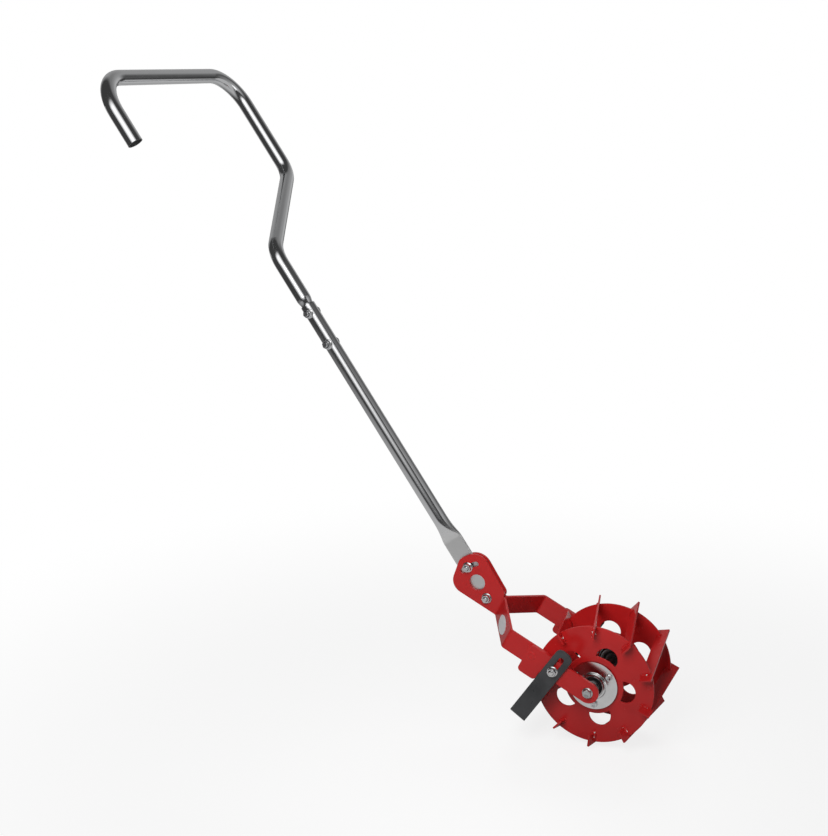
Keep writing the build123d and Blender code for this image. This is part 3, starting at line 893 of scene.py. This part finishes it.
def add_plug_weld(arm, name, outward):
    centre = axle - arm_forward * PLUG_SETBACK
    spot = ring_object(name, [around(circle(radius, height)) for radius, height in PLUG_OUTLINE])
    place = Matrix.Translation((centre.x, outer_face(arm, outward), centre.z))
    spot.data.transform(place @ facing(outward))
    keep(spot, "fork", "red_paint")


# Stage
SEEN_RAYS = ("Is Camera Ray", "Is Glossy Ray", "Is Transmission Ray")
AMBIENT = 0.05
FLOOR_HALF = 20.0
FLOOR_LIT = grey(0.40)
FLOOR_SEEN = grey(0.95)
FLOOR_WHITE = 0.82
FLOOR_FADE = (0.4, 1.5)
DOME_RADIUS = 6.0
DOME_PLACE = (-0.5, 0.0, 0.7)
DOME_FOOT = (0, 0, -0.5)
FAINT_GLOW = 0.06
FLOOR_CARD_HALF = 8.0
FLOOR_CARD_PLACE = (0.0, 0.0, 0.0005)
UNDER_DRUM = (0.0, 0.14, 0.0)
FRONT_CARD_HALVES = (3.0, 2.8)
FRONT_CARD_PLACE = (0.45, -2.75, 1.85)
FRONT_CARD_TARGET = (-0.45, 0.0, 0.6)
GLINT_CARD_HALF = 0.14
GLINT_CARD_PLACE = (0.35, -2.5, 2.0)
GLINT_CARD_TARGET = (0.0, 0.0, 0.1)
GLINT_LEVEL = 14.0


def seen_share(tree):
    """One where a ray comes from the camera, a reflection or a view through something."""
    path = tree.nodes.new("ShaderNodeLightPath")
    total = path.outputs[SEEN_RAYS[0]]
    for kind in SEEN_RAYS[1:]:
        node = tree.nodes.new("ShaderNodeMath")
        node.operation = "MAXIMUM"
        tree.links.new(total, node.inputs[0])
        tree.links.new(path.outputs[kind], node.inputs[1])
        total = node.outputs[0]
    return total


def show_mix(tree, share, first, second, output):
    """Show the second of two shaders by a share."""
    mix = tree.nodes.new("ShaderNodeMixShader")
    tree.links.new(share, mix.inputs["Fac"])
    tree.links.new(first, mix.inputs[1])
    tree.links.new(second, mix.inputs[2])
    tree.links.new(mix.outputs["Shader"], tree.nodes[output].inputs["Surface"])


def add_world():
    world = bpy.data.worlds.new("studio")
    scene.world = world
    world.use_nodes = True
    tree = world.node_tree
    ambient = tree.nodes["Background"]
    ambient.inputs["Color"].default_value = WHITE
    ambient.inputs["Strength"].default_value = AMBIENT
    white = tree.nodes.new("ShaderNodeBackground")
    white.inputs["Color"].default_value = WHITE
    show_mix(
        tree, seen_share(tree), ambient.outputs["Background"], white.outputs["Background"], "World Output")


def plate_mesh(name, half_x, half_y):
    mesh = bpy.data.meshes.new(name)
    corners = [(-half_x, -half_y, 0), (half_x, -half_y, 0), (half_x, half_y, 0), (-half_x, half_y, 0)]
    mesh.from_pydata(corners, [], [(0, 1, 2, 3)])
    made = bpy.data.objects.new(name, mesh)
    scene.collection.objects.link(made)
    return made


def add_floor():
    """Floor that is nearly white to the eye and keeps the shadow, and grey to the light it throws back."""
    floor = plate_mesh("floor", FLOOR_HALF, FLOOR_HALF)
    shader = Shader("white_floor")
    shader.tree.nodes.remove(shader.surface)
    seen = seen_share(shader.tree)
    matt = shader.add("ShaderNodeBsdfDiffuse")
    shader.feed(matt.inputs["Color"], shader.blend(seen, FLOOR_LIT, FLOOR_SEEN))
    white = shader.add("ShaderNodeEmission")
    white.inputs["Color"].default_value = WHITE
    distance = shader.vector("LENGTH", shader.place, result="Value")
    fade = shader.span(distance, FLOOR_WHITE, 1.0, *FLOOR_FADE, "SMOOTHSTEP")
    share = shader.maths("MULTIPLY", seen, fade)
    show_mix(shader.tree, share, matt.outputs["BSDF"], white.outputs["Emission"], "Material Output")
    floor.data.materials.append(shader.material)


def aimed(place, target, long_way):
    """Place and turn that point local -z from a place to a target, with local y near a direction."""
    back = (Vector(place) - Vector(target)).normalized()
    right = Vector(long_way).cross(back).normalized()
    up = back.cross(right)
    turn = Matrix((right, up, back)).transposed().to_4x4()
    return Matrix.Translation(place) @ turn


def softbox(name, place, target, size, radiance):
    """Square lamp that lights paint. Plating shows the cards in its place."""
    data = bpy.data.lights.new(name, "AREA")
    data.shape = "SQUARE"
    data.size = size
    data.energy = radiance * math.pi * size * size
    lamp = bpy.data.objects.new(name, data)
    scene.collection.objects.link(lamp)
    lamp.matrix_world = aimed(place, target, (1, 0, 0))
    lamp.visible_camera = False
    lamp.visible_glossy = False


def add_lights():
    softbox("top_softbox", (-0.10, -0.6, 0.66), (-0.25, 0.0, 0.45), size=0.5, radiance=6.0)
    softbox("back_softbox", (-0.4, 1.6, 1.6), (-0.2, 0.0, 0.3), size=1.2, radiance=4.2)
    softbox("right_softbox", (1.3, -0.5, 0.35), (0.0, 0.0, 0.1), size=0.8, radiance=1.5)


class Glow(Shader):
    """Plain light of a level that follows the place, for cards that show in reflections only."""

    def __init__(self, name, sampling="NONE"):
        super().__init__(name)
        self.tree.nodes.remove(self.surface)
        self.surface = self.add("ShaderNodeEmission")
        self.feed(self.tree.nodes["Material Output"].inputs["Surface"], self.surface.outputs["Emission"])
        self.material.cycles.emission_sampling = sampling

    def axes(self, place):
        parts = self.add("ShaderNodeSeparateXYZ")
        self.feed(parts.inputs["Vector"], place)
        return parts.outputs[0], parts.outputs[1], parts.outputs[2]

    def larger(self, first, second):
        return self.maths("MAXIMUM", first, second)

    def product(self, first, *others):
        for other in others:
            first = self.maths("MULTIPLY", first, other)
        return first

    def glow(self, *levels):
        """Strength out of a faint base and the sum of these levels."""
        total = FAINT_GLOW
        for level in levels:
            total = self.maths("ADD", total, level)
        self.feed(self.surface.inputs["Strength"], total)


def reflect_only(made, material):
    made.visible_camera = False
    made.visible_diffuse = False
    made.visible_transmission = False
    made.visible_shadow = False
    made.data.materials.append(material)


def add_dome():
    """Dim studio above the floor: grey behind on the left, a lamp low on the right, dark elsewhere."""
    mesh = bpy.data.meshes.new("studio_dome")
    shape = bmesh.new()
    bmesh.ops.create_uvsphere(shape, u_segments=48, v_segments=24, radius=DOME_RADIUS)
    whole = shape.verts[:] + shape.edges[:] + shape.faces[:]
    bmesh.ops.bisect_plane(shape, geom=whole, plane_co=DOME_FOOT, plane_no=(0, 0, -1), clear_outer=True)
    shape.to_mesh(mesh)
    shape.free()
    dome = bpy.data.objects.new("studio_dome", mesh)
    scene.collection.objects.link(dome)
    dome.location = DOME_PLACE
    glow = Glow("dim_studio")
    x, y, z = glow.axes(glow.vector("NORMALIZE", glow.place))
    left = glow.fall(x, 0.25, 0.50)
    behind = glow.rise(y, 0.18, 0.42)
    high = glow.span(z, 0.0, 0.33, -0.06, 0.10)
    straight = glow.span(y, 1.0, 1.5, 0.84, 0.97)
    overhead = glow.larger(glow.span(z, 1.0, 0.6, 0.6, 0.85), glow.span(x, 1.0, 0.5, -0.55, -0.05))
    wall = glow.product(left, behind, high, straight, overhead)
    right = glow.rise(x, 0.45, 0.75)
    beside = glow.span(y, 1.0, 0.35, -0.1, 0.6)
    low = glow.span(z, 0.5, 0.0, 0.45, 0.72)
    lamp = glow.product(right, beside, low)
    strip = glow.product(
        glow.rise(x, 0.70, 0.80),
        glow.rise(y, -0.72, -0.55),
        glow.fall(y, -0.08, 0.05),
        glow.rise(z, -0.10, 0.0),
        glow.fall(z, 0.18, 0.28))
    glow.glow(wall, lamp, strip)
    reflect_only(dome, glow.material)


def add_floor_card():
    """Pool of light on the floor, dark far out in front, on its left and under the drum."""
    made = plate_mesh("floor_card", FLOOR_CARD_HALF, FLOOR_CARD_HALF)
    made.location = FLOOR_CARD_PLACE
    glow = Glow("floor_pool")
    x, y, _ = glow.axes(glow.place)
    left = glow.larger(glow.rise(x, -1.8, -0.7), glow.span(y, 0.0, 0.75, 0.2, 1.2))
    front = glow.span(y, 0.0, 0.53, -2.2, -0.9)
    back = glow.larger(glow.fall(y, 2.3, 3.3), glow.fall(x, -0.8, 0.0))
    contact = glow.span(glow.vector("DISTANCE", glow.place, UNDER_DRUM, "Value"), 0.05, 1.0, 0.15, 0.33)
    glow.glow(glow.product(left, front, back, contact))
    reflect_only(made, glow.material)


def add_front_card():
    """Large soft light in front, fading to all sides and most of all to its lower end."""
    made = plate_mesh("front_card", *FRONT_CARD_HALVES)
    made.matrix_world = aimed(FRONT_CARD_PLACE, FRONT_CARD_TARGET, shaft_up)
    glow = Glow("front_light")
    x, y, _ = glow.axes(glow.place)
    left_shift = glow.span(y, 0.8, 0.0, -0.22, 0.55)
    left = glow.rise(glow.maths("SUBTRACT", x, left_shift), -2.8, -0.9)
    right_shift = glow.span(y, 0.52, 0.05, -0.4, 0.1)
    right = glow.fall(glow.maths("ADD", x, right_shift), 0.56, 2.36)
    low = glow.rise(y, -0.98, -0.25)
    high = glow.span(y, 1.55, 0.0, 1.5, 2.7)
    glow.glow(glow.product(left, right, low, high))
    reflect_only(made, glow.material)


def add_glint_card():
    """Small bright light in front that shows on nuts and welds."""
    made = plate_mesh("glint_card", GLINT_CARD_HALF, GLINT_CARD_HALF)
    made.matrix_world = aimed(GLINT_CARD_PLACE, GLINT_CARD_TARGET, shaft_up)
    glow = Glow("small_light", sampling="AUTO")
    glow.glow(GLINT_LEVEL)
    reflect_only(made, glow.material)


add_camera()
add_world()
add_floor()
add_lights()
add_dome()
add_floor_card()
add_front_card()
add_glint_card()
paint_nodes()
round_sheet_edges()
add_fasteners()
add_lower_tube()
add_blade_welds("wheel_disc_near", "blade_welds_near", -1)
add_blade_welds("wheel_disc_far", "blade_welds_far", 1)
add_plug_weld("axle_arm_near", "plug_weld_near", -1)
add_plug_weld("axle_arm_far", "plug_weld_far", 1)
scene.view_settings.view_transform = "Standard"
